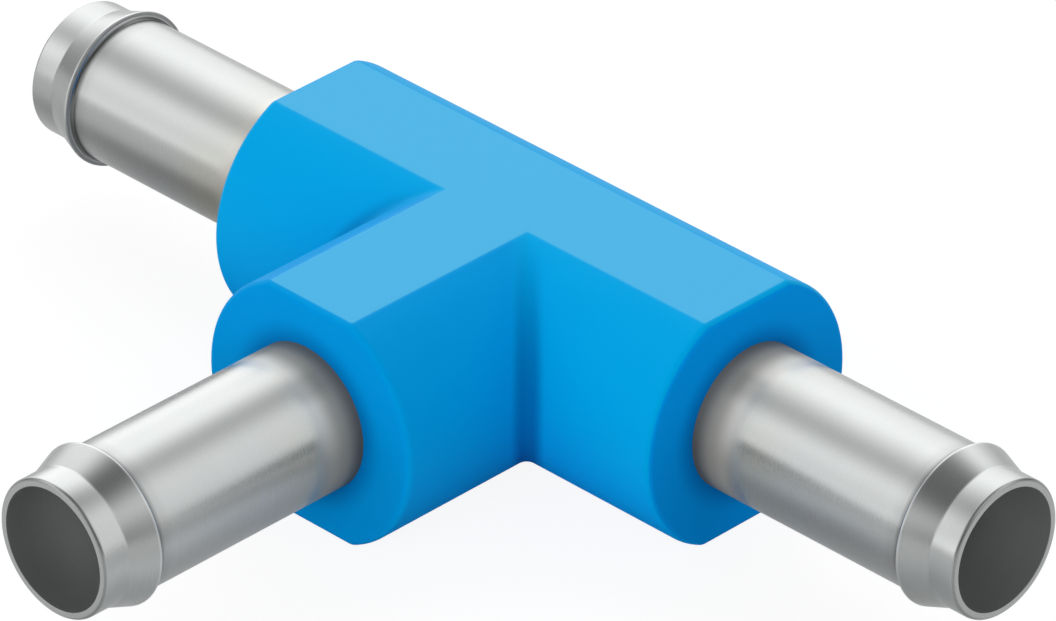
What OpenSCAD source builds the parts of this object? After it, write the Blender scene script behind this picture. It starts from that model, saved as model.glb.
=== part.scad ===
// Hose barb tee: a moulded plastic body with three turned metal barb tubes held in it.
// The run lies along X and the branch points to -Y. The three axes cross at the origin,
// and the flats of the body lie level, above and below them. All sizes are in millimetres.

/* [Legs] */
// Distance from the crossing of the axes to the mouth of each tube
leg_reach = 41.3; // [35:0.1:70]
// Outer diameter of the plain tube
tube_d = 10; // [8:0.1:12]
// Thickness of the tube's wall, which leaves the bore through the tubes and the body
tube_wall = 0.8; // [0.7:0.05:2]

/* [Barb] */
// Depth that the pilot, which a hose starts on, is turned down below the plain tube
pilot_step = 0.25; // [0.1:0.05:0.3]
// Length of the pilot, from the mouth to the fillet at the foot of the cone
pilot_l = 1.9; // [0.6:0.1:3]
// Radius of the hollow fillet between the pilot and the cone
foot_r = 0.6; // [0.2:0.1:1.2]
// Height of the barb above the plain tube
ridge_rise = 0.475; // [0.35:0.025:1.5]
// Radius of the rounded top of the ridge
ridge_edge_r = 0.12; // [0.04:0.02:0.16]
// Distance from the mouth to the back face of the barb
barb_l = 4.15; // [3.8:0.05:8]
// Radius of the fillet where the back face meets the tube
heel_r = 0.3; // [0.06:0.02:0.34]
// Radius of the outer edge of the mouth
mouth_outer_r = 0.25; // [0.05:0.01:0.3]
// Radius of the inner edge of the mouth
mouth_inner_r = 0.05; // [0.03:0.01:0.15]

/* [Anchor inside the body] */
// Gap from the inner end of a tube to the line of the tube that crosses it
seat_gap = 1; // [0.6:0.1:2]
// Distance from the inner end of a tube to its first anchor groove
groove_start = 2; // [1:0.1:3]
// Width of an anchor groove
groove_w = 1.2; // [0.6:0.1:1.6]
// Depth of an anchor groove
groove_d = 0.3; // [0.1:0.05:0.35]
// Distance from one anchor groove to the next
groove_pitch = 3.2; // [2:0.1:3.6]
// Number of anchor grooves on each tube
groove_count = 3; // [1:1:3]

/* [Body] */
// Distance from the crossing of the axes to each end face
arm_reach = 19.5; // [19:0.1:28]
// Diameter of the round sides of each arm
arm_d = 18; // [17.5:0.1:24]
// Depth that each of the two flats is cut into the round sides
flat_cut = 0.8; // [0.4:0.1:2]
// Radius of the edge between a flat and a round side
flat_edge_r = 1; // [0.5:0.1:1.5]
// Radius of the edge round each end face
end_edge_r = 0.5; // [0.2:0.05:0.8]
// Radius of the fillet in the two inner corners
crease_r = 1; // [0.3:0.05:1.5]

/* [Hidden] */
$fn = 96;

BODY_BLUE = [0.02, 0.52, 0.78];
TUBE_METAL = [0.72, 0.73, 0.74];

// Tools that cut run past the face they cut by this much
PAST = 1;
LEFT = [0, -90, 0];
RIGHT = [0, 90, 0];
BRANCH = [90, 0, 0];

tube_r = tube_d / 2;
bore_r = tube_r - tube_wall;
pilot_r = tube_r - pilot_step;
ridge_r = tube_r + ridge_rise;
tube_seat = tube_r + seat_gap;
barb_back = leg_reach - barb_l;

// The fillet at the foot of the cone and the top of the ridge, as [radius, distance] of their
// centres, and the two ends of the straight cone that touches both
foot_centre = [pilot_r + foot_r, leg_reach - pilot_l];
ridge_centre = [ridge_r - ridge_edge_r, barb_back + ridge_edge_r];
cone_way = ridge_centre - foot_centre;
cone_turn = acos((foot_r + ridge_edge_r) / norm(cone_way));
cone_in = turned(cone_way / norm(cone_way), -cone_turn);
cone_foot = foot_centre + foot_r * cone_in;
cone_top = ridge_centre - ridge_edge_r * cone_in;

arm_r = arm_d / 2;
flat_z = arm_r - flat_cut;
flats_h = 2 * flat_z;

// The centre of the arc that rounds the edge of a flat, and the angle where it meets the side
edge_z = flat_z - flat_edge_r;
edge_y = sqrt(pow(arm_r - flat_edge_r, 2) - pow(edge_z, 2));
edge_angle = asin(edge_z / (arm_r - flat_edge_r));

// The crease fillet is swept in steps of this angle, up to this angle from level
CREASE_STEP = 6;
CREASE_END = 84;
CREASE_ARC_STEPS = 6;
// The fillet is sunk by CREASE_BITE along its edges, and its root lies CREASE_ROOT deep
CREASE_BITE = 0.02;
CREASE_ROOT = 0.4;

// The direction v turned left by angle a
function turned(v, a) = [v[0] * cos(a) - v[1] * sin(a), v[0] * sin(a) + v[1] * cos(a)];

// Outline of half a tube without its bore: X is the radius and Y the distance from the crossing
module tube_outline() {
    difference() {
        union() {
            polygon([
                [0, tube_seat],
                [tube_r, tube_seat],
                [tube_r, barb_back],
                [ridge_centre[0], barb_back],
                cone_top,
                cone_foot,
                [pilot_r, foot_centre[1]],
                [pilot_r, leg_reach - mouth_outer_r],
                [pilot_r - mouth_outer_r, leg_reach],
                [0, leg_reach]
            ]);
            translate([pilot_r - mouth_outer_r, leg_reach - mouth_outer_r])
                circle(r = mouth_outer_r);
            translate(ridge_centre)
                circle(r = ridge_edge_r);
            translate([tube_r, barb_back - heel_r])
                inside_fillet(heel_r);
        }
        translate(foot_centre)
            circle(r = foot_r);
        for (i = [0 : groove_count - 1])
            translate([tube_r - groove_d, tube_seat + groove_start + i * groove_pitch])
                square([groove_d + PAST, groove_w]);
    }
}

// Fills the corner between a wall along Y, on the left, and a wall along X, at the top
module inside_fillet(r) {
    difference() {
        square(r);
        translate([r, 0])
            circle(r = r);
    }
}

// The outer form of a tube, standing along +Z
module tube_form() {
    rotate_extrude()
        tube_outline();
}

module barb_tube() {
    color(TUBE_METAL)
        difference() {
            tube_form();
            translate([0, 0, tube_seat - PAST])
                cylinder(r = bore_r, h = leg_reach - tube_seat + 2 * PAST);
            rotate_extrude()
                translate([bore_r, leg_reach])
                    mirror([0, 1])
                        mouth_rounding();
        }
}

// What the rounded inner edge of the mouth takes away
module mouth_rounding() {
    difference() {
        square(mouth_inner_r);
        translate([mouth_inner_r, mouth_inner_r])
            circle(r = mouth_inner_r);
    }
}

// Section across an arm: round sides, two flats and rounded edges between them
module arm_section() {
    side_z = arm_r * sin(edge_angle);
    intersection() {
        circle(r = arm_r);
        square([2 * arm_r, 2 * side_z], center = true);
    }
    square([2 * edge_y, flats_h], center = true);
    for (y = [-edge_y, edge_y], z = [-edge_z, edge_z])
        translate([y, z])
            circle(r = flat_edge_r);
}

module rounded_rectangle(w, h, r) {
    square([w, h - 2 * r], center = true);
    square([w - 2 * r, h], center = true);
    for (x = [-w / 2 + r, w / 2 - r], y = [-h / 2 + r, h / 2 - r])
        translate([x, y])
            circle(r = r);
}

// Half of the rounded rectangle, on the side of +X, for turning about Y
module rounded_half(w, h, r) {
    intersection() {
        rounded_rectangle(w, h, r);
        translate([0, -h / 2])
            square([w / 2, h]);
    }
}

// A bar with the arm's section and rounded ends, centred on the origin along X
module arm_bar() {
    intersection() {
        rotate([90, 0, 90])
            linear_extrude(height = 2 * arm_reach, center = true)
                arm_section();
        rotate(RIGHT)
            rotate_extrude()
                rounded_half(arm_d, 2 * arm_reach, end_edge_r);
        rotate([90, 0, 0])
            linear_extrude(height = 2 * arm_d, center = true)
                rounded_rectangle(2 * arm_reach, flats_h, end_edge_r);
    }
}

// The point on the arm's section whose normal is at angle a from level, as [y, z]
function section_point(a) =
    abs(a) <= edge_angle
        ? arm_r * [cos(a), sin(a)]
        : [edge_y, sign(a) * edge_z] + flat_edge_r * [cos(a), sin(a)];

// A place between the run and the branch, p[0] out from both axes and p[1] up
function corner_point(p) = [p[0], -p[0], p[1]];

// The direction that is the share t of the way round from u to v
function turned_between(u, v, t) =
    let (w = acos(u * v))
    (sin((1 - t) * w) * u + sin(t * w) * v) / sin(w);

// One rib of the fillet: an arc of the ball that touches run and branch, then the root
function crease_rib(a) =
    let (
        side = section_point(a),
        out = [cos(a), sin(a)],
        ball = corner_point(side + crease_r * out),
        to_run = [0, out[0], -out[1]],
        to_branch = [-out[0], 0, -out[1]]
    )
    concat(
        [for (i = [0 : CREASE_ARC_STEPS])
            ball + (crease_r + CREASE_BITE)
                * turned_between(to_run, to_branch, i / CREASE_ARC_STEPS)],
        [corner_point(side - CREASE_ROOT * out)]
    );

// The fillet in the corner between the right arm of the run and the branch
module crease_fillet() {
    ribs = [for (a = [-CREASE_END : CREASE_STEP : CREASE_END]) crease_rib(a)];
    n = CREASE_ARC_STEPS + 2;
    last = (len(ribs) - 1) * n;
    polyhedron(
        points = [for (rib = ribs) each rib],
        faces = concat(
            [[for (i = [0 : n - 1]) i]],
            [for (k = [0 : len(ribs) - 2], i = [0 : n - 1])
                let (j = (i + 1) % n)
                [k * n + i, (k + 1) * n + i, (k + 1) * n + j, k * n + j]],
            [[for (i = [n - 1 : -1 : 0]) last + i]]
        )
    );
}

module tee_body() {
    color(BODY_BLUE)
        difference() {
            union() {
                arm_bar();
                intersection() {
                    rotate([0, 0, 90])
                        arm_bar();
                    translate([-arm_d, -2 * arm_reach, -flats_h])
                        cube([2 * arm_d, 2 * arm_reach, 2 * flats_h]);
                }
                crease_fillet();
                mirror([1, 0, 0])
                    crease_fillet();
            }
            for (way = [LEFT, RIGHT, BRANCH])
                rotate(way) {
                    tube_form();
                    cylinder(r = bore_r, h = tube_seat + PAST);
                }
        }
}

module left_barb_tube() {
    rotate(LEFT)
        barb_tube();
}

module right_barb_tube() {
    rotate(RIGHT)
        barb_tube();
}

module branch_barb_tube() {
    rotate(BRANCH)
        barb_tube();
}

tee_body();
left_barb_tube();
right_barb_tube();
branch_barb_tube();
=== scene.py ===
"""Looks of a hose barb tee: a moulded plastic body and three turned barb tubes on a pale floor.

The run lies along X, the branch points to -Y and the three axes cross at the origin, in metres.
"""
import math

import bpy
from mathutils import Matrix, Vector


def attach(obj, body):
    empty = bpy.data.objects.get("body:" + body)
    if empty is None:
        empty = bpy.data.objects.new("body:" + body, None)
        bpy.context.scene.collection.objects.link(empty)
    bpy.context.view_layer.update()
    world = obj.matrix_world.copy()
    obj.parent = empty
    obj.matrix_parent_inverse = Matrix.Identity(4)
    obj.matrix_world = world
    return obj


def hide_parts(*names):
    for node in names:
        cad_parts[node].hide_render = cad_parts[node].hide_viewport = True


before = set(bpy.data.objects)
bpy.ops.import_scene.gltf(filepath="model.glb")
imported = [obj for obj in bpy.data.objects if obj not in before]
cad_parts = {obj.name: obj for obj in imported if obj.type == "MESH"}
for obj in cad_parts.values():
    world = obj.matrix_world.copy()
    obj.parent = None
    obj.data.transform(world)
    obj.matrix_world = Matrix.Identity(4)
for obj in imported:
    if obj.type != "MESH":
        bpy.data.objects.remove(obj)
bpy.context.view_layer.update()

MM = 0.001

# Sizes of a barb tube, measured along it from the crossing of the axes
LEG_REACH = 41.3 * MM
TUBE_R = 5 * MM
TUBE_WALL = 0.8 * MM
BARB_L = 4.15 * MM
RIDGE_R = TUBE_R + 0.475 * MM
RIDGE_EDGE_R = 0.12 * MM
HEEL_R = 0.3 * MM
PILOT_STEP = 0.25 * MM
PILOT_L = 1.9 * MM
FOOT_R = 0.6 * MM
MOUTH_OUTER_R = 0.25 * MM
MOUTH_INNER_R = 0.05 * MM
TUBE_SEAT = TUBE_R + 1 * MM
GROOVE_START = 2 * MM
GROOVE_W = 1.2 * MM
GROOVE_D = 0.3 * MM
GROOVE_PITCH = 3.2 * MM
GROOVE_COUNT = 3

# Sizes of the moulded body
ARM_REACH = 19.5 * MM
ARM_R = 9 * MM
FLAT_Z = 8.2 * MM
FLAT_EDGE_R = 1 * MM
END_EDGE_R = 0.5 * MM
CREASE_R = 1 * MM

BODY = "root"

# How finely the tubes and the moulding are divided
FACETS_ROUND = 192
FILLET_STEPS = 14
SIDE_STEPS = 56
EDGE_STEPS = 8
FLAT_STEPS = 12
CREASE_STEPS = 8


class Signal:
    """One output of a node. Python's operators on it add Math nodes to its tree."""

    def __init__(self, bench, socket):
        self.bench = bench
        self.socket = socket

    def out(self, name):
        """Another output of the same node."""
        return Signal(self.bench, self.socket.node.outputs[name])

    def __add__(self, other):
        return self.bench.maths("ADD", self, other)

    def __radd__(self, other):
        return self.bench.maths("ADD", other, self)

    def __sub__(self, other):
        return self.bench.maths("SUBTRACT", self, other)

    def __rsub__(self, other):
        return self.bench.maths("SUBTRACT", other, self)

    def __mul__(self, other):
        return self.bench.maths("MULTIPLY", self, other)

    def __rmul__(self, other):
        return self.bench.maths("MULTIPLY", other, self)

    def __truediv__(self, other):
        return self.bench.maths("DIVIDE", self, other)

    def __rtruediv__(self, other):
        return self.bench.maths("DIVIDE", other, self)

    def __gt__(self, other):
        return self.bench.maths("GREATER_THAN", self, other)

    def __lt__(self, other):
        return self.bench.maths("LESS_THAN", self, other)


class Bench:
    """A node tree that is being wired.

    The setting "choices" of a node stands for the number of items of an index switch.
    """

    def __init__(self, tree):
        self.tree = tree

    def node(self, kind, settings=None, sockets=None):
        """Adds a node: its settings first, then the values or links of its sockets."""
        node = self.tree.nodes.new(kind)
        for name, value in (settings or {}).items():
            if name == "choices":
                for _ in range(value - len(node.index_switch_items)):
                    node.index_switch_items.new()
            else:
                setattr(node, name, value)
        for name, value in (sockets or {}).items():
            if isinstance(value, Signal):
                self.tree.links.new(value.socket, node.inputs[name])
            else:
                node.inputs[name].default_value = value
        visible = [s for s in node.outputs if s.enabled]
        return Signal(self, visible[0]) if visible else node

    def maths(self, operation, *values):
        """One Math node."""
        sockets = dict(enumerate(values))
        return self.node("ShaderNodeMath", {"operation": operation}, sockets)

    def clamped(self, value):
        """The value, kept from 0 to 1."""
        return self.node("ShaderNodeClamp", None, {"Value": value})

    def mix_colour(self, factor, a, b):
        """Colour a where factor is 0 and colour b where it is 1."""
        node = self.tree.nodes.new("ShaderNodeMix")
        node.data_type = "RGBA"
        ends = {"Factor_Float": factor, "A_Color": a, "B_Color": b}
        for socket in node.inputs:
            if socket.identifier in ends:
                value = ends[socket.identifier]
                if isinstance(value, Signal):
                    self.tree.links.new(value.socket, socket)
                else:
                    socket.default_value = value
        result = [s for s in node.outputs if s.identifier == "Result_Color"][0]
        return Signal(self, result)


def new_material(name):
    """An empty material and the bench to wire it on."""
    material = bpy.data.materials.new(name)
    material.use_nodes = True
    material.node_tree.nodes.clear()
    return material, Bench(material.node_tree)


def grey(value):
    """A grey of this lightness, as a colour."""
    return (value, value, value, 1)


def mm(*values):
    """Values in millimetres, given in metres."""
    return tuple(value * MM for value in values)


def ramp(bench, value, start, end):
    """A smooth step from 0 where the value is start to 1 where it is end."""
    sockets = {"Value": value, "From Min": start, "From Max": end}
    if start > end:
        sockets.update({"From Min": end, "From Max": start, "To Min": 1, "To Max": 0})
    return bench.node("ShaderNodeMapRange", {"interpolation_type": "SMOOTHSTEP"}, sockets)


def between(bench, value, start, full, last, end):
    """1 where the value lies from full to last, and 0 before start and after end."""
    return ramp(bench, value, start, full) * ramp(bench, value, end, last)


def noise(bench, place, size, detail):
    """Soft clouds of about the given size."""
    sockets = {"Vector": place, "Scale": 1 / size, "Detail": detail}
    return bench.node("ShaderNodeTexNoise", {"noise_dimensions": "3D"}, sockets)


def tool_rings(bench, place, across, pitch, detail, roughness=0.5):
    """Fine rings round a tube, as a turning tool or a drill leaves them."""
    scale = (1 / across, 1 / across, 1 / pitch)
    stretched = bench.node("ShaderNodeMapping", None, {"Vector": place, "Scale": scale})
    sockets = {"Vector": stretched, "Scale": 1, "Detail": detail, "Roughness": roughness}
    return bench.node("ShaderNodeTexNoise", {"noise_dimensions": "3D"}, sockets)


def bumps(bench, height, strength, distance):
    """The normal of a surface that is uneven by the distance."""
    sockets = {"Height": height, "Strength": strength, "Distance": distance}
    return bench.node("ShaderNodeBump", None, sockets)


def end_material(bench, sockets):
    """Adds the material's one shader and its output."""
    bsdf = bench.node("ShaderNodeBsdfPrincipled", None, sockets)
    bench.node("ShaderNodeOutputMaterial", None, {"Surface": bsdf})


# Bare metal, in its darker and lighter clouds, and the metal nearer to the moulding, low and high,
# warmer low down as painted light against the moulding's blue reflected there
BARE_METAL = [(0.475, 0.489, 0.486, 1), (0.505, 0.519, 0.516, 1)]
NEAR_METAL = [(0.495, 0.492, 0.435, 1), (0.487, 0.5, 0.485, 1)]
METAL_IOR = 1.4
METAL_ROUGHNESS = 0.27
RING_ROUGHNESS = 0.03
DULL_ROUGHNESS = 0.3

# The dull band where a tube leaves the moulding, in painted shade that stands in for the end face
# mirrored there: its colour there, further out and at its end, first low on the tube and then high
# on it, where it is lighter as painted light, and a faint darker line along it, a painted
# reflection
PAINTED_BAND_LOW = [(0.118, 0.109, 0.091, 1), (0.3, 0.276, 0.231, 1), (0.38, 0.356, 0.306, 1)]
PAINTED_BAND_HIGH = [(0.19, 0.176, 0.147, 1), (0.43, 0.398, 0.333, 1), (0.82, 0.787, 0.708, 1)]
PAINTED_STREAK = (0.1, 0.098, 0.09, 1)
PAINTED_STREAK_STRENGTH = 0.33

# Where one of these gives way to the next, in distances from the moulding's end face
BAND_FURTHER_OUT = mm(0.1, 1.6)
BAND_END = mm(1.4, 3)
BAND_TO_NEAR = mm(2.8, 4.2)
NEAR_TO_BARE = mm(4, 9)
STREAK_STARTS = mm(0.4, 2)
METAL_STARTS = mm(2.2, 4.2)

# The same in heights above the tube's axis
LOW_TO_HIGH = mm(-0.5, 4)
STREAK_HEIGHT = mm(3.4, 4.2, 4.5, 4.9)

# Painted shade in the heel of the barb and round the mouth, a painted highlight on the top of the
# ridge, and the dull back face of the barb, in a grey that is painted light, with the share of that
# face that isn't bare metal
PAINTED_SHADE = (0.02, 0.02, 0.02, 1)
HEEL_SHADE = 0.6
HEEL_SHADE_HAZE = 0.12
MOUTH_SHADE = 0.3
CROWN_HIGHLIGHT = (0.62, 0.63, 0.63, 1)
BACK_PAINTED_GREY = (0.37, 0.37, 0.36, 1)
BACK_DULLNESS = 0.8

# Where they lie, in distances from the barb's back face and, for the mouth's painted shade, from
# the mouth
HEEL_SHADE_STARTS = mm(-0.7, -0.2)
HEEL_SHADE_HAZE_STARTS = mm(-1.6, -0.6)
HEEL_SHADE_ENDS = mm(-0.01, -0.08)
BACK_PLACE = mm(-0.02, -0.003, 0.02, 0.05)
CROWN_PLACE = mm(0.01, 0.04, 0.2, 0.24)
MOUTH_SHADE_PLACE = mm(-0.16, -0.08, -0.015, -0.003)


def painted_band_colour(bench, free, height, upper):
    """Painted shade of the dull band, by the distance from the moulding and the height, lighter
    higher up as painted light, with a darker line of painted reflection.
    """
    begun = ramp(bench, free, *BAND_FURTHER_OUT)
    ended = ramp(bench, free, *BAND_END)
    low, high = [
        bench.mix_colour(ended, bench.mix_colour(begun, first, middle), last)
        for first, middle, last in (PAINTED_BAND_LOW, PAINTED_BAND_HIGH)
    ]
    colour = bench.mix_colour(upper, low, high)
    # A darker line along the band, a painted reflection
    line = between(bench, height, *STREAK_HEIGHT)
    line = PAINTED_STREAK_STRENGTH * line * ramp(bench, free, *STREAK_STARTS)
    return bench.mix_colour(line, colour, PAINTED_STREAK)


def painted_shade_on_tube(bench, distance, up_barb):
    """How much painted shade darkens the heel of the barb and a ring round the mouth."""
    heel_shade = HEEL_SHADE * ramp(bench, up_barb, *HEEL_SHADE_STARTS)
    heel_haze = HEEL_SHADE_HAZE * ramp(bench, up_barb, *HEEL_SHADE_HAZE_STARTS)
    heel_shade = heel_shade + heel_haze * (1 - heel_shade)
    heel_shade = heel_shade * ramp(bench, up_barb, *HEEL_SHADE_ENDS)
    mouth = between(bench, distance - LEG_REACH, *MOUTH_SHADE_PLACE)
    return heel_shade + MOUTH_SHADE * mouth


def turned_metal():
    """Bare metal off a lathe, with rings too fine to see one by one, read in the tube's place.

    It isn't bare but dull in a short band where it comes out of the moulding, in painted shade
    that stands in for the end face mirrored there, lighter higher up as painted light. Next to the
    band, low on the tube, it is warmer, painted against the moulding's blue reflected there.
    Painted shade darkens the heel of the barb and a ring round the mouth, a painted highlight lies
    on the top of the ridge, and the barb's back face is dull, in a grey that is painted light.
    """
    material, bench = new_material("turned_bright_metal")
    here = bench.node("ShaderNodeTexCoord").out("Object")
    place = bench.node("ShaderNodeAttribute", {"attribute_name": "tube_place"}).out("Vector")
    fine = tool_rings(bench, place, across=9 * MM, pitch=0.05 * MM, detail=3, roughness=0.6)
    cloud = noise(bench, place, size=4 * MM, detail=2)
    distance = bench.node("ShaderNodeSeparateXYZ", None, {"Vector": place}).out("Z")
    height = bench.node("ShaderNodeSeparateXYZ", None, {"Vector": here}).out("Z")
    free = distance - ARM_REACH
    up_barb = distance - (LEG_REACH - BARB_L)
    upper = ramp(bench, height, *LOW_TO_HIGH)
    # Painted shade where the tube leaves the moulding, lighter high up as painted light
    colour = painted_band_colour(bench, free, height, upper)
    # Warmer low on the tube, painted against the moulding's blue reflected there
    near = bench.mix_colour(upper, *NEAR_METAL)
    colour = bench.mix_colour(ramp(bench, free, *BAND_TO_NEAR), colour, near)
    far = bench.mix_colour(cloud, *BARE_METAL)
    colour = bench.mix_colour(ramp(bench, free, *NEAR_TO_BARE), colour, far)
    # Painted shade in the heel of the barb and round the mouth
    colour = bench.mix_colour(painted_shade_on_tube(bench, distance, up_barb), colour, PAINTED_SHADE)
    # A painted highlight on the top of the ridge
    colour = bench.mix_colour(between(bench, up_barb, *CROWN_PLACE), colour, CROWN_HIGHLIGHT)
    # The barb's back face, dull and in a grey that is painted light
    back = between(bench, up_barb, *BACK_PLACE)
    colour = bench.mix_colour(back, colour, BACK_PAINTED_GREY)
    bare = ramp(bench, free, *METAL_STARTS) * (1 - BACK_DULLNESS * back)
    roughness = METAL_ROUGHNESS + RING_ROUGHNESS * (fine - 0.5) + DULL_ROUGHNESS * (1 - bare)
    end_material(bench, {
        "Base Color": colour,
        "Metallic": bare,
        "Roughness": roughness,
        "IOR": METAL_IOR,
        "Normal": bumps(bench, fine, strength=0.15, distance=0.001 * MM),
    })
    return material


# The two greys of a bore's rings, by the mouth and deep in the tube, where the lighter grey is
# painted light, and how deep that is
BORE_BY_MOUTH = [(0.185, 0.193, 0.19, 1), (0.213, 0.221, 0.218, 1)]
BORE_DEEP = [(0.39, 0.406, 0.4, 1), (0.45, 0.467, 0.46, 1)]
DEEP = 6 * MM
BORE_METALLIC = 0.3
BORE_ROUGHNESS = 0.6
BORE_RING_ROUGHNESS = 0.05


def bored_metal():
    """The dull grey inside of a tube, as the drill leaves it, a little darker by the mouth and
    lighter deeper in as painted light.
    """
    material, bench = new_material("dull_bored_metal")
    place = bench.node("ShaderNodeAttribute", {"attribute_name": "tube_place"}).out("Vector")
    fine = tool_rings(bench, place, across=6 * MM, pitch=0.12 * MM, detail=2)
    distance = bench.node("ShaderNodeSeparateXYZ", None, {"Vector": place}).out("Z")
    deep = ramp(bench, distance, LEG_REACH, LEG_REACH - DEEP)
    outer = bench.mix_colour(fine, *BORE_BY_MOUTH)
    inner = bench.mix_colour(fine, *BORE_DEEP)
    end_material(bench, {
        "Base Color": bench.mix_colour(deep, outer, inner),
        "Metallic": BORE_METALLIC,
        "Roughness": BORE_ROUGHNESS + BORE_RING_ROUGHNESS * (fine - 0.5),
        "Normal": bumps(bench, fine, strength=0.2, distance=0.003 * MM),
    })
    return material


# The moulding's two blues as it flowed, and the blues of its places, laid on in this order, which
# are painted light and shade: bluer low down, deeper on the branch's flank and the end faces, paler
# on the flats, and painted shade in the inner corners and round the tubes
FLOW_BLUES = [(0, 0.42, 0.885, 1), (0, 0.44, 0.905, 1)]
PAINTED_LIGHT_BLUES = {
    "low side": (0, 0.415, 1, 1),
    "branch flank": (0, 0.37, 0.86, 1),
    "run end": (0, 0.337, 0.93, 1),
    "branch end": (0, 0.347, 0.86, 1),
    "flat": (0.074, 0.521, 0.907, 1),
    "inner corner": (0, 0, 0.25, 1),
    "round the tube": (0, 0.02, 0.3, 1),
}
CORNER_SHADE_STRENGTH = 0.58
SEAT_SHADE_STRENGTH = 0.4
PLASTIC_IOR = 1.2
SHEEN_TINT = (0, 0.5, 1, 1)
PLASTIC_ROUGHNESS = 0.5
GRAIN_ROUGHNESS = 0.04
DULL_PLASTIC_ROUGHNESS = 0.35

# Where a place of the moulding starts and where it is in full. The low side is told by the
# height, the branch's flank and the inner corner by the distance from the line where run and
# branch meet, and the place round a tube by the distance from its axis.
LOW_SIDE = mm(2, -6)
BRANCH_FLANK = mm(-0.5, -2)
INNER_CORNER = mm(1.7, 0.4)
ROUND_TUBE = mm(6.8, 4.7)

# These two are told by the height, as a share of the height of the flats
FLAT = (0.997, 0.9998)
CORNER_TOP = (1, 0.96)

# The end faces take in their edges down to this depth
END_DEPTH = 0.1 * MM


def body_regions(bench, place):
    """Values from 0 to 1 that tell how far each place of the moulding belongs to each region,
    where painted light and shade go.
    """
    parts = bench.node("ShaderNodeSeparateXYZ", None, {"Vector": place})
    x, y, z = parts, parts.out("Y"), parts.out("Z")
    aside = bench.maths("ABSOLUTE", x)
    height = z / FLAT_Z
    level = bench.maths("ABSOLUTE", height)
    risen = bench.clamped(height)
    from_corner = bench.maths("ABSOLUTE", aside + y)
    corner = ramp(bench, from_corner, *INNER_CORNER) * (1 - risen * risen)
    corner = corner * ramp(bench, level, *CORNER_TOP)
    run_end = aside > ARM_REACH - END_DEPTH
    branch_end = y < END_DEPTH - ARM_REACH
    from_run = bench.maths("SQRT", y * y + z * z)
    from_branch = bench.maths("SQRT", x * x + z * z)
    seat = (
        run_end * ramp(bench, from_run, *ROUND_TUBE)
        + branch_end * ramp(bench, from_branch, *ROUND_TUBE)
    )
    return {
        "low side": ramp(bench, z, *LOW_SIDE),
        "branch flank": ramp(bench, aside + y, *BRANCH_FLANK),
        "run end": run_end,
        "branch end": branch_end,
        "flat": ramp(bench, level, *FLAT),
        "inner corner": CORNER_SHADE_STRENGTH * corner,
        "round the tube": SEAT_SHADE_STRENGTH * seat,
    }


def moulded_plastic():
    """Smooth blue moulding with the faint grain of its mould.

    Painted light and shade make it bluer on its low side, deeper blue on the branch's flank and
    its end faces, paler on its flats, and deeper blue again in its inner corners and round the
    tubes, where the shade is painted. Its end faces and its low side have less sheen.
    """
    material, bench = new_material("moulded_blue_plastic")
    place = bench.node("ShaderNodeTexCoord").out("Object")
    grain = noise(bench, place, size=0.35 * MM, detail=3)
    flow = noise(bench, place, size=9 * MM, detail=2)
    regions = body_regions(bench, place)
    blue = bench.mix_colour(flow, *FLOW_BLUES)
    # Painted light and shade, laid on place by place
    for region, colour in PAINTED_LIGHT_BLUES.items():
        blue = bench.mix_colour(regions[region], blue, colour)
    dull = bench.clamped(regions["low side"] + regions["run end"] + regions["branch end"])
    roughness = (
        PLASTIC_ROUGHNESS
        + GRAIN_ROUGHNESS * (grain - 0.5)
        + DULL_PLASTIC_ROUGHNESS * dull
    )
    end_material(bench, {
        "Base Color": blue,
        "Roughness": roughness,
        "IOR": PLASTIC_IOR,
        "Specular Tint": SHEEN_TINT,
        "Normal": bumps(bench, grain, strength=0.2, distance=0.003 * MM),
    })
    return material


def cone_corners():
    """Where the barb's cone would meet its back face and the pilot with sharp corners.

    Gives the radius at the back face and the distance at the pilot, with all edges rounded.
    """
    pilot_r = TUBE_R - PILOT_STEP
    foot = Vector((pilot_r + FOOT_R, LEG_REACH - PILOT_L))
    ridge = Vector((RIDGE_R - RIDGE_EDGE_R, LEG_REACH - BARB_L + RIDGE_EDGE_R))
    way = ridge - foot
    turn = math.acos((FOOT_R + RIDGE_EDGE_R) / way.length)
    inward = Matrix.Rotation(-turn, 2) @ way.normalized()
    cone_foot = foot + FOOT_R * inward
    slope = ridge - RIDGE_EDGE_R * inward - cone_foot
    at_back = cone_foot.x + slope.x / slope.y * (LEG_REACH - BARB_L - cone_foot.y)
    at_pilot = cone_foot.y + slope.y / slope.x * (pilot_r - cone_foot.x)
    return at_back, at_pilot


SHARP_RIDGE_R, SHARP_CONE_FOOT = cone_corners()

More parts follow.
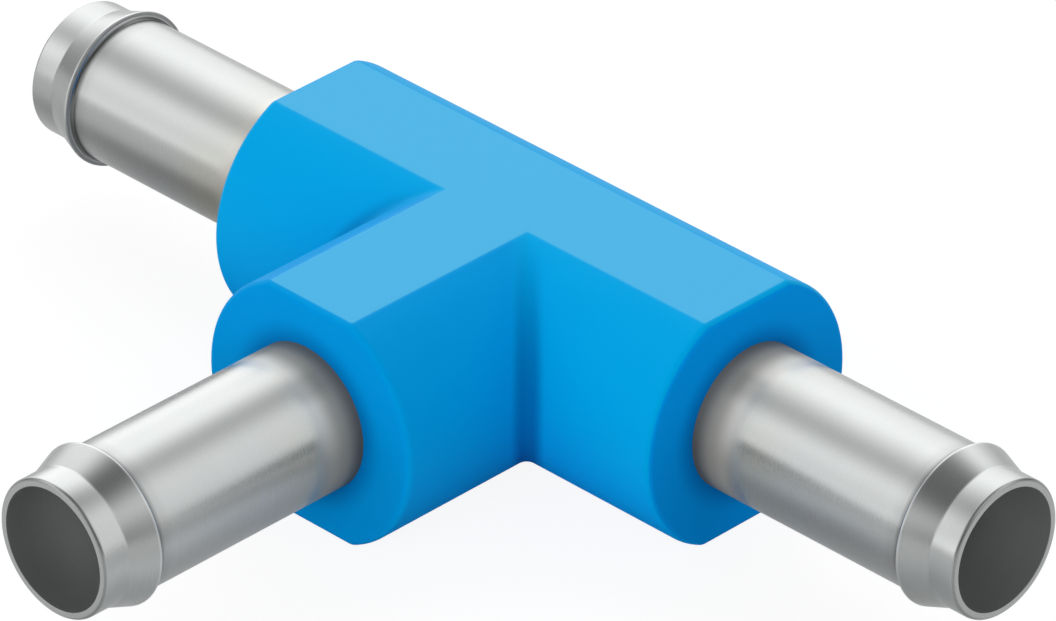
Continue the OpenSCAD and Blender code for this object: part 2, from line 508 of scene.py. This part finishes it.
# Inputs of the tree that makes a tube: name, kind of socket and value
TUBE_INPUTS = [
    ("Reach", "NodeSocketFloat", LEG_REACH),
    ("Tube Radius", "NodeSocketFloat", TUBE_R),
    ("Wall", "NodeSocketFloat", TUBE_WALL),
    ("Seat", "NodeSocketFloat", TUBE_SEAT),
    ("Barb Length", "NodeSocketFloat", BARB_L),
    ("Ridge Radius", "NodeSocketFloat", SHARP_RIDGE_R),
    ("Ridge Edge", "NodeSocketFloat", RIDGE_EDGE_R),
    ("Heel Fillet", "NodeSocketFloat", HEEL_R),
    ("Pilot Step", "NodeSocketFloat", PILOT_STEP),
    ("Cone Foot", "NodeSocketFloat", SHARP_CONE_FOOT),
    ("Foot Fillet", "NodeSocketFloat", FOOT_R),
    ("Mouth Outer Edge", "NodeSocketFloat", MOUTH_OUTER_R),
    ("Mouth Inner Edge", "NodeSocketFloat", MOUTH_INNER_R),
    ("Groove Start", "NodeSocketFloat", GROOVE_START),
    ("Groove Width", "NodeSocketFloat", GROOVE_W),
    ("Groove Depth", "NodeSocketFloat", GROOVE_D),
    ("Groove Pitch", "NodeSocketFloat", GROOVE_PITCH),
    ("Leg", "NodeSocketRotation", (0, 0, 0)),
    ("Facets Round", "NodeSocketInt", FACETS_ROUND),
    ("Outside", "NodeSocketMaterial", None),
    ("Bore", "NodeSocketMaterial", None),
]

# Edges of a tube that turn more than this stay sharp
SHARP_EDGE = math.radians(30)
# Faces no further outside the bore's radius than this belong to the bore
BORE_MARGIN = 0.02 * MM
# The tube's outline is carried round a ring of this radius, and is moved in by as much first
CARRIER_R = 0.01 * MM


def barb_outline(size):
    """Corners of the tube's wall as (radius, distance, fillet), round it from its inner end."""
    radius = size["Tube Radius"]
    bore = radius - size["Wall"]
    seat = size["Seat"]
    pilot = radius - size["Pilot Step"]
    back = size["Reach"] - size["Barb Length"]
    corners = [(bore, seat, 0.0), (radius, seat, 0.0)]
    floor = radius - size["Groove Depth"]
    start = seat + size["Groove Start"]
    for _ in range(GROOVE_COUNT):
        end = start + size["Groove Width"]
        corners += [(radius, start, 0.0), (floor, start, 0.0)]
        corners += [(floor, end, 0.0), (radius, end, 0.0)]
        start = start + size["Groove Pitch"]
    return corners + [
        (radius, back, size["Heel Fillet"]),
        (size["Ridge Radius"], back, size["Ridge Edge"]),
        (pilot, size["Cone Foot"], size["Foot Fillet"]),
        (pilot, size["Reach"], size["Mouth Outer Edge"]),
        (bore, size["Reach"], size["Mouth Inner Edge"]),
    ]


def in_bore(bench, size):
    """1 on the faces of the bore, judged by their distance from the tube's own axis."""
    place = bench.node(
        "GeometryNodeInputNamedAttribute",
        {"data_type": "FLOAT_VECTOR"},
        {"Name": "tube_place"},
    )
    parts = bench.node("ShaderNodeSeparateXYZ", None, {"Vector": place})
    away = parts * parts + parts.out("Y") * parts.out("Y")
    bore = size["Tube Radius"] - size["Wall"] + BORE_MARGIN
    return away < bore * bore


def barb_tube_tree():
    """Turns the tube's outline about its axis, then lays the tube along its leg."""
    tree = bpy.data.node_groups.new("turned_barb_tube", "GeometryNodeTree")
    tree.interface.new_socket("Geometry", in_out="OUTPUT", socket_type="NodeSocketGeometry")
    for name, kind, value in TUBE_INPUTS:
        socket = tree.interface.new_socket(name, in_out="INPUT", socket_type=kind)
        if value is not None:
            socket.default_value = value
    bench = Bench(tree)
    given = bench.node("NodeGroupInput")
    size = {name: given.out(name) for name, _, _ in TUBE_INPUTS}
    corners = barb_outline(size)
    count = len(corners)
    index = bench.node("GeometryNodeInputIndex")
    places = {"Index": index}
    fillets = {"Index": index}
    for i, (radius, distance, fillet) in enumerate(corners):
        places[str(i)] = bench.node("ShaderNodeCombineXYZ", None, {"X": radius, "Y": distance})
        fillets[str(i)] = fillet
    vectors = {"data_type": "VECTOR", "choices": count}
    floats = {"data_type": "FLOAT", "choices": count}
    place = bench.node("GeometryNodeIndexSwitch", vectors, places)
    fillet = bench.node("GeometryNodeIndexSwitch", floats, fillets)
    row = bench.node("GeometryNodeMeshLine", None, {"Count": count})
    row = bench.node("GeometryNodeSetPosition", None, {"Geometry": row, "Position": place})
    outline = bench.node("GeometryNodeMeshToCurve", None, {"Mesh": row})
    outline = bench.node("GeometryNodeSetSplineCyclic", None, {"Geometry": outline, "Cyclic": True})
    outline = bench.node(
        "GeometryNodeFilletCurve",
        {"mode": "POLY"},
        {"Curve": outline, "Count": FILLET_STEPS, "Radius": fillet, "Limit Radius": False},
    )
    outline = bench.node(
        "GeometryNodeTransform",
        None,
        {"Geometry": outline, "Translation": (-CARRIER_R, 0, 0)},
    )
    ring = bench.node(
        "GeometryNodeCurvePrimitiveCircle",
        {"mode": "RADIUS"},
        {"Resolution": size["Facets Round"], "Radius": CARRIER_R},
    )
    tube = bench.node("GeometryNodeCurveToMesh", None, {"Curve": ring, "Profile Curve": outline})
    tube = bench.node(
        "GeometryNodeTransform",
        None,
        {"Geometry": tube, "Rotation": (math.pi, 0, 0)},
    )
    corner = bench.node("GeometryNodeInputMeshEdgeAngle") > SHARP_EDGE
    tube = bench.node(
        "GeometryNodeSetShadeSmooth",
        {"domain": "EDGE"},
        {"Geometry": tube, "Selection": corner, "Shade Smooth": False},
    )
    position = bench.node("GeometryNodeInputPosition")
    tube = bench.node(
        "GeometryNodeStoreNamedAttribute",
        {"data_type": "FLOAT_VECTOR", "domain": "POINT"},
        {"Geometry": tube, "Name": "tube_place", "Value": position},
    )
    tube = bench.node("GeometryNodeTransform", None, {"Geometry": tube, "Rotation": size["Leg"]})
    tube = bench.node("GeometryNodeRealizeInstances", None, {"Geometry": tube})
    tube = bench.node(
        "GeometryNodeSetMaterial",
        None,
        {"Geometry": tube, "Material": size["Outside"]},
    )
    tube = bench.node(
        "GeometryNodeSetMaterial",
        None,
        {"Geometry": tube, "Selection": in_bore(bench, size), "Material": size["Bore"]},
    )
    bench.node("NodeGroupOutput", None, {"Geometry": tube})
    return tree


def link(name, mesh):
    """A new object with the mesh, at the origin."""
    obj = bpy.data.objects.new(name, mesh)
    bpy.context.scene.collection.objects.link(obj)
    return obj


def barb_tube(name, tree, leg, outside, bore):
    """One tube, made by the tree and kept as a plain mesh."""
    tube = link(name, bpy.data.meshes.new(name))
    modifier = tube.modifiers.new("turned_barb_tube", "NODES")
    modifier.node_group = tree
    chosen = {"Leg": [math.radians(angle) for angle in leg], "Outside": outside, "Bore": bore}
    for socket in tree.interface.items_tree:
        if socket.name in chosen:
            modifier[socket.identifier] = chosen[socket.name]
    bpy.context.view_layer.update()
    depsgraph = bpy.context.evaluated_depsgraph_get()
    made = tube.evaluated_get(depsgraph)
    mesh = bpy.data.meshes.new_from_object(
        made, preserve_all_data_layers=True, depsgraph=depsgraph
    )
    mesh.name = name
    tube.modifiers.clear()
    tube.data = mesh
    return tube


# Corners of the moulding that lie closer than this are one
SAME_PLACE = 0.0002 * MM


class Moulding:
    """Faces of the body, each corner with the true direction that the surface faces there."""

    def __init__(self):
        self.places = []
        self.known = {}
        self.faces = []
        self.normals = []

    def corner(self, place):
        """Index of the corner at a place, one for all the faces that meet there."""
        key = tuple(round(value / SAME_PLACE) for value in place)
        if key not in self.known:
            self.known[key] = len(self.places)
            self.places.append(tuple(place))
        return self.known[key]

    def face(self, corners):
        """Adds a face from (place, normal) corners, wound so that it points along them."""
        kept = []
        for place, normal in corners:
            index = self.corner(place)
            if not kept or index not in (kept[-1][0], kept[0][0]):
                kept.append((index, normal))
        if len(kept) < 3:
            return
        around = Vector((0, 0, 0))
        outward = Vector((0, 0, 0))
        for (i, normal), (j, _) in zip(kept, kept[1:] + kept[:1]):
            around += Vector(self.places[i]).cross(Vector(self.places[j]))
            outward += Vector(normal)
        if around.dot(outward) < 0:
            kept.reverse()
        self.faces.append([index for index, _ in kept])
        self.normals.extend(normal for _, normal in kept)

    def sheet(self, rows, closed=False):
        """Adds the faces between rows of (place, normal)."""
        following = rows[1:] + rows[:1] if closed else rows[1:]
        for row, after in zip(rows, following):
            for a, b, c, d in zip(row, row[1:], after[1:], after):
                self.face((a, b, c, d))

    def mesh(self, name):
        """All the faces as one smooth mesh."""
        mesh = bpy.data.meshes.new(name)
        mesh.from_pydata(self.places, [], self.faces)
        mesh.shade_smooth()
        mesh.normals_split_custom_set([Vector(normal).normalized() for normal in self.normals])
        return mesh


def steps(start, end, count):
    """Evenly spaced numbers from start to end, both included."""
    return [start + (end - start) * i / count for i in range(count + 1)]


def arm_side():
    """Half of the section across an arm, from the lower flat to the upper one.

    Each point is (out, up, angle): its distance from the arm's middle, its height, and the
    angle above level that the surface faces.
    """
    edge_z = FLAT_Z - FLAT_EDGE_R
    edge_out = math.sqrt((ARM_R - FLAT_EDGE_R) ** 2 - edge_z ** 2)
    turn = math.asin(edge_z / (ARM_R - FLAT_EDGE_R))
    upper = [
        (edge_out + FLAT_EDGE_R * math.cos(a), edge_z + FLAT_EDGE_R * math.sin(a), a)
        for a in steps(turn, math.pi / 2, EDGE_STEPS)
    ]
    lower = [(out, -up, -a) for out, up, a in reversed(upper)]
    side = [
        (ARM_R * math.cos(a), ARM_R * math.sin(a), a)
        for a in steps(-turn, turn, SIDE_STEPS)
    ]
    return lower[:-1] + side + upper[1:]


def arm_loop(side):
    """The whole section as (across, up, facing across, facing up), with points on both flats."""
    edge_out = side[-1][0]
    bridge = steps(-edge_out, edge_out, FLAT_STEPS)[1:-1]
    right = [(out, up, math.cos(a), math.sin(a)) for out, up, a in side]
    left = [(-out, up, -math.cos(a), math.sin(a)) for out, up, a in reversed(side)]
    over = [(-across, FLAT_Z, 0, 1) for across in bridge]
    under = [(across, -FLAT_Z, 0, -1) for across in bridge]
    return right + over + left + under


def along_run(sign):
    """Carries (along, across, up) to the arm of the run that points to sign times X."""
    return lambda along, across, up: (sign * along, -across, up)


def along_branch(along, across, up):
    """Carries (along, across, up) to the branch."""
    return (across, -along, up)


def end_edge(across, up, facing, rising, carry):
    """One row over the rounded edge between an arm's side and its end face."""
    row = []
    for turn in steps(0, math.pi / 2, EDGE_STEPS):
        level = math.cos(turn)
        sunk = END_EDGE_R * (1 - level)
        along = ARM_REACH - END_EDGE_R * (1 - math.sin(turn))
        place = carry(along, across - sunk * facing, up - sunk * rising)
        row.append((place, carry(math.sin(turn), level * facing, level * rising)))
    return row


def seat_outline():
    """Corners of a tube's seat as (distance, radius), from the end face inwards."""
    deep = TUBE_R - GROOVE_D
    outline = [(ARM_REACH, TUBE_R)]
    for groove in reversed(range(GROOVE_COUNT)):
        start = TUBE_SEAT + GROOVE_START + groove * GROOVE_PITCH
        end = start + GROOVE_W
        outline += [(end, TUBE_R), (end, deep), (start, deep), (start, TUBE_R)]
    return outline + [(TUBE_SEAT, TUBE_R), (TUBE_SEAT, TUBE_R - TUBE_WALL)]


def seat_normal(place, after, ray, carry):
    """The way that the seat faces between two corners of its outline."""
    if place[0] == after[0]:
        return carry(math.copysign(1, place[1] - after[1]), 0, 0)
    return carry(0, -ray[0], -ray[1])


def mould_end(moulding, loop, carry):
    """The rounded edge and the end face of an arm, and the seat that grips its tube."""
    moulding.sheet([end_edge(*corner, carry) for corner in loop], closed=True)
    outline = seat_outline()
    face_rows = []
    seat_rows = [[] for _ in outline[1:]]
    end = carry(1, 0, 0)
    for across, up, facing, rising in loop:
        rim = (across - END_EDGE_R * facing, up - END_EDGE_R * rising)
        far = math.hypot(*rim)
        ray = (rim[0] / far, rim[1] / far)
        hole = carry(ARM_REACH, TUBE_R * ray[0], TUBE_R * ray[1])
        face_rows.append([(carry(ARM_REACH, *rim), end), (hole, end)])
        for row, place, after in zip(seat_rows, outline, outline[1:]):
            towards = seat_normal(place, after, ray, carry)
            row.append([
                (carry(distance, radius * ray[0], radius * ray[1]), towards)
                for distance, radius in (place, after)
            ])
    moulding.sheet(face_rows, closed=True)
    for row in seat_rows:
        moulding.sheet(row, closed=True)


def mould_sides(moulding, side, fillet, end, facing=1):
    """The long surfaces of run and branch for one section, with a fillet in the two corners.

    They reach up to the distance end. They face outwards, or with facing -1 inwards.
    """
    shares = steps(0, 1, CREASE_STEPS)[1:-1] if fillet else []
    back = []
    for out, up, a in side:
        normal = (0, facing * math.cos(a), facing * math.sin(a))
        back.append([((x, out, up), normal) for x in (-end, 0, end)])
    moulding.sheet(back)
    for hand in (-1, 1):
        rows = []
        for out, up, a in side:
            level, rise = math.cos(a), math.sin(a)
            ball = out + fillet * level
            on_run = (0, -facing * level, facing * rise)
            on_branch = (facing * hand * level, 0, facing * rise)
            row = [((hand * end, -out, up), on_run), ((hand * ball, -out, up), on_run)]
            centre = Vector((hand * ball, -ball, up + fillet * rise))
            for share in shares:
                normal = Vector(on_run).slerp(Vector(on_branch), share, Vector(on_run))
                row.append((tuple(centre - fillet * normal), tuple(normal)))
            row += [((hand * out, -ball, up), on_branch), ((hand * out, -end, up), on_branch)]
            rows.append(row)
        moulding.sheet(rows)


def mould_flat(moulding, side, up):
    """The level tee-shaped face above or below the arms."""
    edge = side[-1][0]
    end = ARM_REACH - END_EDGE_R
    across = steps(-edge, edge, FLAT_STEPS)
    outline = [(end, y) for y in across] + [(0, edge)] + [(-end, -y) for y in across]
    outline += [(-edge, -edge)] + [(x, -end) for x in across] + [(edge, -edge)]
    moulding.face([((x, y, up), (0, 0, math.copysign(1, up))) for x, y in outline])


def moulded_body(name, plastic):
    """The tee-shaped moulding, with the seats of the tubes and the passage between them."""
    moulding = Moulding()
    side = arm_side()
    loop = arm_loop(side)
    mould_sides(moulding, side, CREASE_R, ARM_REACH - END_EDGE_R)
    for up in (FLAT_Z, -FLAT_Z):
        mould_flat(moulding, side, up)
    for carry in (along_run(1), along_run(-1), along_branch):
        mould_end(moulding, loop, carry)
    bore = TUBE_R - TUBE_WALL
    # The passage is divided as the end faces are, on the half of the loop that points right
    rays = sorted(
        math.atan2(up - END_EDGE_R * rising, across - END_EDGE_R * facing)
        for across, up, facing, rising in loop
        if across > -SAME_PLACE
    )
    passage = [(bore * math.cos(a), bore * math.sin(a), a) for a in rays]
    mould_sides(moulding, passage, 0, TUBE_SEAT, facing=-1)
    mesh = moulding.mesh(name)
    mesh.materials.append(plastic)
    return link(name, mesh)


# Where the photograph's camera stands, and how its picture is turned and shifted
CAMERA_AZIMUTH = math.radians(44.5176)
CAMERA_ELEVATION = math.radians(31.8602)
CAMERA_ROLL = math.radians(0.2782)
CAMERA_DISTANCE = 126.6992 * TUBE_R
CAMERA_ASIDE = -0.022 * TUBE_R
CAMERA_ABOVE = 0.146 * TUBE_R

# Its focal length and the photograph's width in pixels, and the lens that they ask for on a
# sensor of this width, both in millimetres
PHOTO_FOCAL_LENGTH = 9925.5241
PHOTO_WIDTH = 1056
SENSOR_WIDTH = 36
CAMERA_LENS = PHOTO_FOCAL_LENGTH * SENSOR_WIDTH / PHOTO_WIDTH
CAMERA_CLIP = (0.01, 50)


def direction(azimuth, elevation):
    """A unit vector at an azimuth from -Y towards +X and an elevation, both in radians."""
    level = math.cos(elevation)
    return Vector((math.sin(azimuth) * level, -math.cos(azimuth) * level, math.sin(elevation)))


def place_camera():
    """The photograph's camera."""
    back = direction(CAMERA_AZIMUTH, CAMERA_ELEVATION)
    right = Vector((math.cos(CAMERA_AZIMUTH), math.sin(CAMERA_AZIMUTH), 0))
    up = back.cross(right)
    turn = Matrix.Rotation(CAMERA_ROLL, 3, back)
    right = turn @ right
    up = turn @ up
    data = bpy.data.cameras.new("camera")
    data.sensor_width = SENSOR_WIDTH
    data.lens = CAMERA_LENS
    data.clip_start, data.clip_end = CAMERA_CLIP
    camera = bpy.data.objects.new("camera", data)
    bpy.context.scene.collection.objects.link(camera)
    place = CAMERA_DISTANCE * back - CAMERA_ASIDE * right - CAMERA_ABOVE * up
    axes = Matrix((right, up, back)).transposed().to_4x4()
    camera.matrix_world = Matrix.Translation(place) @ axes
    bpy.context.scene.camera = camera


# The share of the white background that shows in bare metal
BACKGROUND_IN_METAL = 0.18

# How light the floor is to everything but the camera, and how the camera sees it: the part that
# takes the object's shadow and the part that shines by itself
FLOOR_LIGHTNESS = 0.65
FLOOR_SHADED = 0.14
FLOOR_GLOW = 0.9
FLOOR_HALF = 3

# Soft panels of light round the object: azimuth from -Y towards +X, elevation and brightness
LIGHT_PANELS = [
    (-3, 27, 0.75),
    (-27, -3, 1.76),
    (-35, 21, 0.33),
    (-55, 30, 1.50),
    (-95, 54, 0.67),
    (-100, 9, 0.29),
    (-108, 34, 0.55),
    (-120, 18, 1.19),
    (-128, 46, 0.99),
    (-132, 4, 0.65),
    (-153, 13, 0.76),
    (-160, 38, 1.46),
    (147, 43, 0.91),
    (135, 25, 0.66),
    (123, 10, 0.64),
    (110, -4, 0.64),
    (95, 47, 0.79),
    (82, 29, 0.47),
]
PANEL_TIGHTNESS = 20

# Broad lamps too soft to show in the metal, given in the same way
FILL_LAMPS = [(30, 20, 0.35), (0, 8, 0.1), (-150, 50, 0.16)]
FILL_SPREAD = math.radians(50)


def seen_rays(bench):
    """1 for the camera and through glass, and what reflections see of the white background."""
    rays = bench.node("ShaderNodeLightPath")
    seen = bench.clamped(rays.out("Is Camera Ray") + rays.out("Is Transmission Ray"))
    return seen, BACKGROUND_IN_METAL * rays.out("Is Glossy Ray")


# Painted shadows and a painted pool of light on the floor, which show in the metal: middle and
# reach in X and Y, in millimetres, and how much lighter or darker the floor is there
FLOOR_SHADOWS_AND_LIGHT = [(-36, -11, 20, 6, -0.65), (24, -10, 12, 5, -0.3), (14, -27, 7, 14, 0.4)]


def painted_floor_shading(bench):
    """The floor's colour, with its painted shadows and its painted pool of light."""
    place = bench.node("ShaderNodeTexCoord").out("Object")
    parts = bench.node("ShaderNodeSeparateXYZ", None, {"Vector": place})
    shading_tone = 1
    # Painted shadows and a painted pool of light on the floor
    for x, y, reach_x, reach_y, change in FLOOR_SHADOWS_AND_LIGHT:
        across = (parts - x * MM) / (reach_x * MM)
        along = (parts.out("Y") - y * MM) / (reach_y * MM)
        shading_tone = shading_tone + change * bench.maths("EXPONENT", 0 - across * across - along * along)
    return bench.mix_colour(FLOOR_LIGHTNESS * shading_tone, grey(0), grey(1))


def studio_floor():
    """A pale floor that looks white to the camera and still takes a little shadow."""
    mesh = bpy.data.meshes.new("studio_floor")
    turns = [(-1, -1), (1, -1), (1, 1), (-1, 1)]
    corners = [(FLOOR_HALF * x, FLOOR_HALF * y, -FLAT_Z) for x, y in turns]
    mesh.from_pydata(corners, [], [(0, 1, 2, 3)])
    material, bench = new_material("studio_floor_pale")
    seen, mirrored = seen_rays(bench)
    shading_tone = painted_floor_shading(bench)
    lit = bench.node("ShaderNodeBsdfDiffuse", None, {"Color": shading_tone})
    sheen = bench.node("ShaderNodeEmission", None, {"Color": grey(1), "Strength": mirrored})
    lit = bench.node("ShaderNodeAddShader", None, {0: lit, 1: sheen})
    shaded = bench.node("ShaderNodeBsdfDiffuse", None, {"Color": grey(FLOOR_SHADED)})
    glow = bench.node("ShaderNodeEmission", None, {"Color": grey(FLOOR_GLOW), "Strength": 1})
    white = bench.node("ShaderNodeAddShader", None, {0: shaded, 1: glow})
    surface = bench.node("ShaderNodeMixShader", None, {0: seen, 1: lit, 2: white})
    bench.node("ShaderNodeOutputMaterial", None, {"Surface": surface})
    mesh.materials.append(material)
    link("studio_floor", mesh)


def studio_world():
    """Soft panels of light in a dark room, with a white background for the camera."""
    world = bpy.data.worlds.new("studio")
    world.use_nodes = True
    world.node_tree.nodes.clear()
    bench = Bench(world.node_tree)
    towards = bench.node("ShaderNodeTexCoord").out("Generated")
    seen, light = seen_rays(bench)
    for azimuth, elevation, brightness in LIGHT_PANELS:
        middle = direction(math.radians(azimuth), math.radians(elevation))
        facing = bench.node(
            "ShaderNodeVectorMath",
            {"operation": "DOT_PRODUCT"},
            {0: towards, 1: middle},
        ).out("Value")
        panel = bench.maths("EXPONENT", PANEL_TIGHTNESS * (facing - 1))
        light = light + brightness * panel
    strength = light * (1 - seen) + seen
    surface = bench.node("ShaderNodeBackground", None, {"Color": grey(1), "Strength": strength})
    bench.node("ShaderNodeOutputWorld", None, {"Surface": surface})
    bpy.context.scene.world = world


def fill_lamps():
    """Sun lamps that light the object but don't show in its metal."""
    for azimuth, elevation, brightness in FILL_LAMPS:
        data = bpy.data.lights.new("fill_lamp", "SUN")
        data.energy = math.pi * brightness
        data.angle = FILL_SPREAD
        lamp = bpy.data.objects.new("fill_lamp", data)
        bpy.context.scene.collection.objects.link(lamp)
        towards = direction(math.radians(azimuth), math.radians(elevation))
        lamp.rotation_euler = towards.to_track_quat("Z", "Y").to_euler()
        lamp.visible_glossy = False


place_camera()
studio_floor()
studio_world()
fill_lamps()

bright_metal = turned_metal()
bore_metal = bored_metal()
blue_plastic = moulded_plastic()

tree = barb_tube_tree()
TUBES = [
    ("left_turned_tube", "left_barb_tube", (0, -90, 0)),
    ("right_turned_tube", "right_barb_tube", (0, 90, 0)),
    ("branch_turned_tube", "branch_barb_tube", (90, 0, 0)),
]
for name, node, leg in TUBES:
    tube = barb_tube(name, tree, leg, bright_metal, bore_metal)
    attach(tube, BODY)
    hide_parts(node)
body = moulded_body("tee_moulding", blue_plastic)
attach(body, BODY)
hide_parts("tee_body")

bpy.context.scene.view_settings.view_transform = "Standard"
